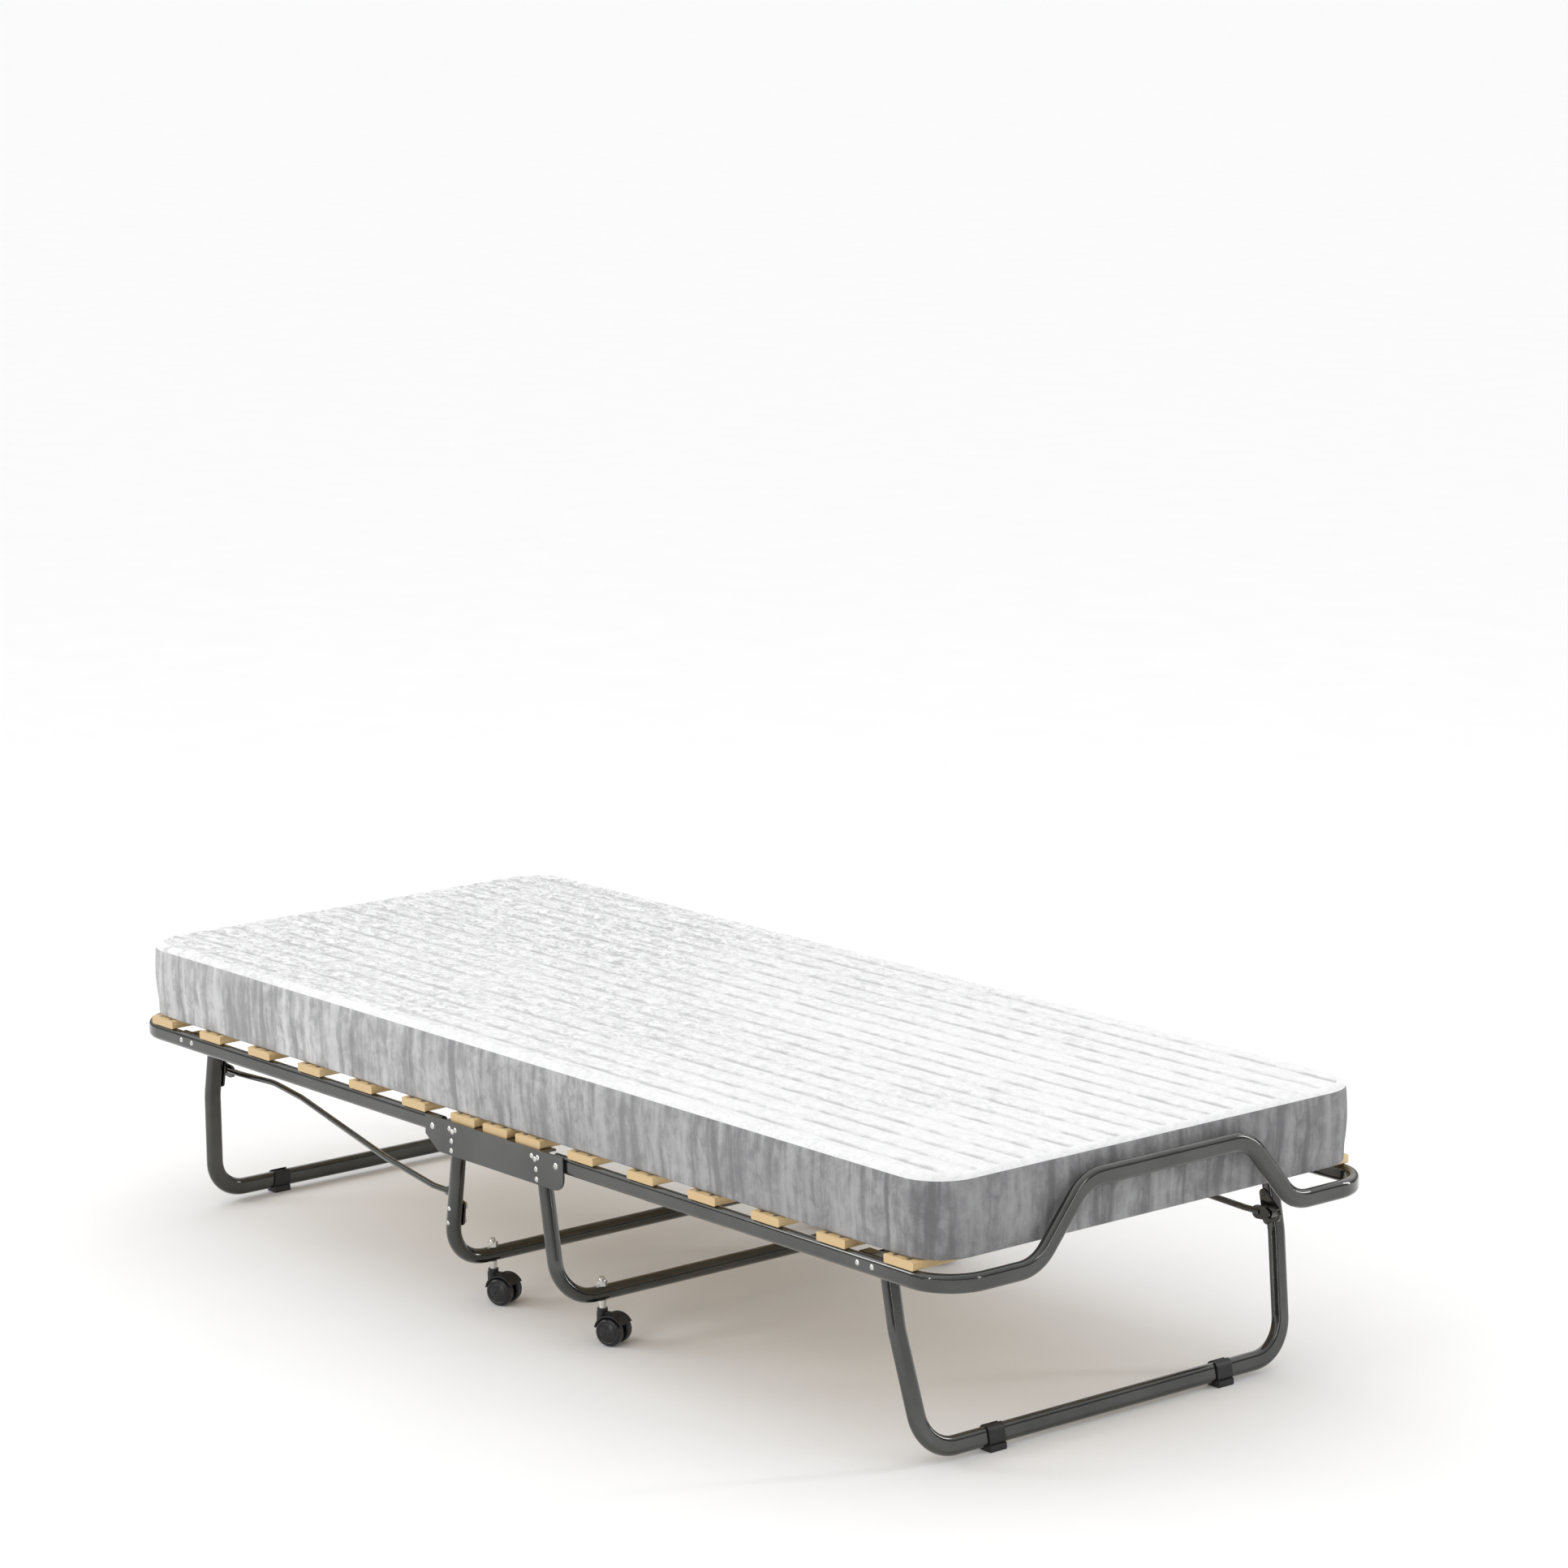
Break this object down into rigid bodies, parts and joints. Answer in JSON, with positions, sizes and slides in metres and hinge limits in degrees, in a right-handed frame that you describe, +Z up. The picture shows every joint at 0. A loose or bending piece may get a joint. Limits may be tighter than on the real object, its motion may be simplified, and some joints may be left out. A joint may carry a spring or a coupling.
{
  "type": "folding rollaway bed",
  "caption": "Rollaway guest bed: two slatted half frames fold up about a centre section on castors, with swing-in end legs, link rods and a quilted mattress.",
  "frame": {"origin": "on the floor under the middle of the open bed", "axes": "+X along the bed to the foot end, +Y across to the back side, +Z up"},
  "size_m": [1.932, 0.7964, 0.414],
  "materials": {
    "graphite_paint": "gloss powder coat, dark graphite grey",
    "black_paint": "satin black paint",
    "bright_zinc": "bright zinc plating",
    "screw_zinc": "zinc plated",
    "slat_wood": "pale laminated wood, satin",
    "black_plastic": "matt moulded plastic",
    "wheel_plastic": "hard moulded nylon, slight gloss",
    "mattress_cover": "quilted white cover with a heather grey knitted border"
  },
  "bodies": {
    "centre": {"side_plate_front": "graphite_paint", "side_plate_back": "graphite_paint", "centre_rivets": "bright_zinc", "castor_leg_foot": "graphite_paint", "castor_leg_head": "graphite_paint", "fold_pivot_rivets": "bright_zinc", "centre_slat_1": "slat_wood", "centre_slat_2": "slat_wood", "centre_slat_3": "slat_wood", "slat_screws_centre": "screw_zinc", "link_brackets": "graphite_paint", "link_pivot_bolts": "graphite_paint", "castor_stems": "bright_zinc", "castor_nuts": "bright_zinc", "mattress_middle": "mattress_cover"},
    "half_foot": {"frame_foot": "graphite_paint", "slat_foot_1": "slat_wood", "slat_foot_2": "slat_wood", "slat_foot_3": "slat_wood", "slat_foot_4": "slat_wood", "slat_foot_5": "slat_wood", "slat_foot_6": "slat_wood", "slat_screws_foot": "screw_zinc", "leg_brackets_foot": "graphite_paint", "leg_bracket_rivets_foot": "bright_zinc", "mattress_foot": "mattress_cover", "latch_stud": "bright_zinc"},
    "half_head": {"frame_head": "graphite_paint", "slat_head_1": "slat_wood", "slat_head_2": "slat_wood", "slat_head_3": "slat_wood", "slat_head_4": "slat_wood", "slat_head_5": "slat_wood", "slat_head_6": "slat_wood", "slat_screws_head": "screw_zinc", "leg_brackets_head": "graphite_paint", "leg_bracket_rivets_head": "bright_zinc", "mattress_head": "mattress_cover", "latch_rivet": "bright_zinc"},
    "latch": {"latch_bar": "black_paint"},
    "end_leg_foot": {"end_leg_foot": "graphite_paint", "leg_feet_foot": "black_plastic", "link_ear_foot": "graphite_paint", "link_pin_foot": "graphite_paint", "leg_bolts_foot": "graphite_paint"},
    "link_rod_foot": {"link_rod_foot": "graphite_paint"},
    "end_leg_head": {"end_leg_head": "graphite_paint", "leg_feet_head": "black_plastic", "link_ear_head": "graphite_paint", "link_pin_head": "graphite_paint", "leg_bolts_head": "graphite_paint"},
    "link_rod_head": {"link_rod_head": "graphite_paint"},
    "castor_head_front": {"castor_housing_head_front": "black_plastic"},
    "wheels_head_front": {"castor_wheels_head_front": "wheel_plastic"},
    "castor_head_back": {"castor_housing_head_back": "black_plastic"},
    "wheels_head_back": {"castor_wheels_head_back": "wheel_plastic"},
    "castor_foot_front": {"castor_housing_foot_front": "black_plastic"},
    "wheels_foot_front": {"castor_wheels_foot_front": "wheel_plastic"},
    "castor_foot_back": {"castor_housing_foot_back": "black_plastic"},
    "wheels_foot_back": {"castor_wheels_foot_back": "wheel_plastic"}
  },
  "joints": [
    {"name": "fold_foot", "type": "hinge", "parent": "centre", "child": "half_foot", "pos_m": [0.148, 0, 0.275], "axis": [0, -1, 0], "range_deg": [0, 90], "deforming": ["mattress_middle"]},
    {"name": "leg_swing_foot", "type": "hinge", "parent": "half_foot", "child": "end_leg_foot", "pos_m": [0.797, 0, 0.275], "axis": [0, -1, 0], "range_deg": [-97, 0.5]},
    {"name": "rod_swing_foot", "type": "hinge", "parent": "centre", "child": "link_rod_foot", "pos_m": [0.136, 0.365, 0.17084], "axis": [0, -1, 0], "range_deg": [-0.5, 83.5]},
    {"name": "fold_head", "type": "hinge", "parent": "centre", "child": "half_head", "pos_m": [-0.148, 0, 0.275], "axis": [0, 1, 0], "range_deg": [0, 90], "deforming": ["mattress_middle"]},
    {"name": "leg_swing_head", "type": "hinge", "parent": "half_head", "child": "end_leg_head", "pos_m": [-0.797, 0, 0.275], "axis": [0, 1, 0], "range_deg": [-97, 0.5]},
    {"name": "rod_swing_head", "type": "hinge", "parent": "centre", "child": "link_rod_head", "pos_m": [-0.136, -0.365, 0.17084], "axis": [0, 1, 0], "range_deg": [-0.5, 83.5]},
    {"name": "latch_swing", "type": "hinge", "parent": "half_head", "child": "latch", "pos_m": [-0.949, -0.065, 0.378], "axis": [1, 0, 0], "range_deg": [0, 34.72]},
    {"name": "swivel_head_front", "type": "hinge", "parent": "centre", "child": "castor_head_front", "pos_m": [-0.131, -0.307, 0.04], "axis": [0, 0, 1], "continuous": true},
    {"name": "wheel_spin_head_front", "type": "hinge", "parent": "castor_head_front", "child": "wheels_head_front", "pos_m": [-0.11431, -0.30026, 0.02], "axis": [-0.3746, 0.9272, 0], "continuous": true},
    {"name": "swivel_head_back", "type": "hinge", "parent": "centre", "child": "castor_head_back", "pos_m": [-0.131, 0.307, 0.04], "axis": [0, 0, 1], "continuous": true},
    {"name": "wheel_spin_head_back", "type": "hinge", "parent": "castor_head_back", "child": "wheels_head_back", "pos_m": [-0.11431, 0.31374, 0.02], "axis": [-0.3746, 0.9272, 0], "continuous": true},
    {"name": "swivel_foot_front", "type": "hinge", "parent": "centre", "child": "castor_foot_front", "pos_m": [0.131, -0.307, 0.04], "axis": [0, 0, 1], "continuous": true},
    {"name": "wheel_spin_foot_front", "type": "hinge", "parent": "castor_foot_front", "child": "wheels_foot_front", "pos_m": [0.14769, -0.30026, 0.02], "axis": [-0.3746, 0.9272, 0], "continuous": true},
    {"name": "swivel_foot_back", "type": "hinge", "parent": "centre", "child": "castor_foot_back", "pos_m": [0.131, 0.307, 0.04], "axis": [0, 0, 1], "continuous": true},
    {"name": "wheel_spin_foot_back", "type": "hinge", "parent": "castor_foot_back", "child": "wheels_foot_back", "pos_m": [0.14769, 0.31374, 0.02], "axis": [-0.3746, 0.9272, 0], "continuous": true}
  ],
  "couplings": [
    {"joint": "leg_swing_foot", "follows": "fold_foot", "ratio": -1.0733},
    {"joint": "rod_swing_foot", "follows": "fold_foot", "ratio": 0.92362},
    {"joint": "leg_swing_head", "follows": "fold_head", "ratio": -1.0733},
    {"joint": "rod_swing_head", "follows": "fold_head", "ratio": 0.92362}
  ]
}
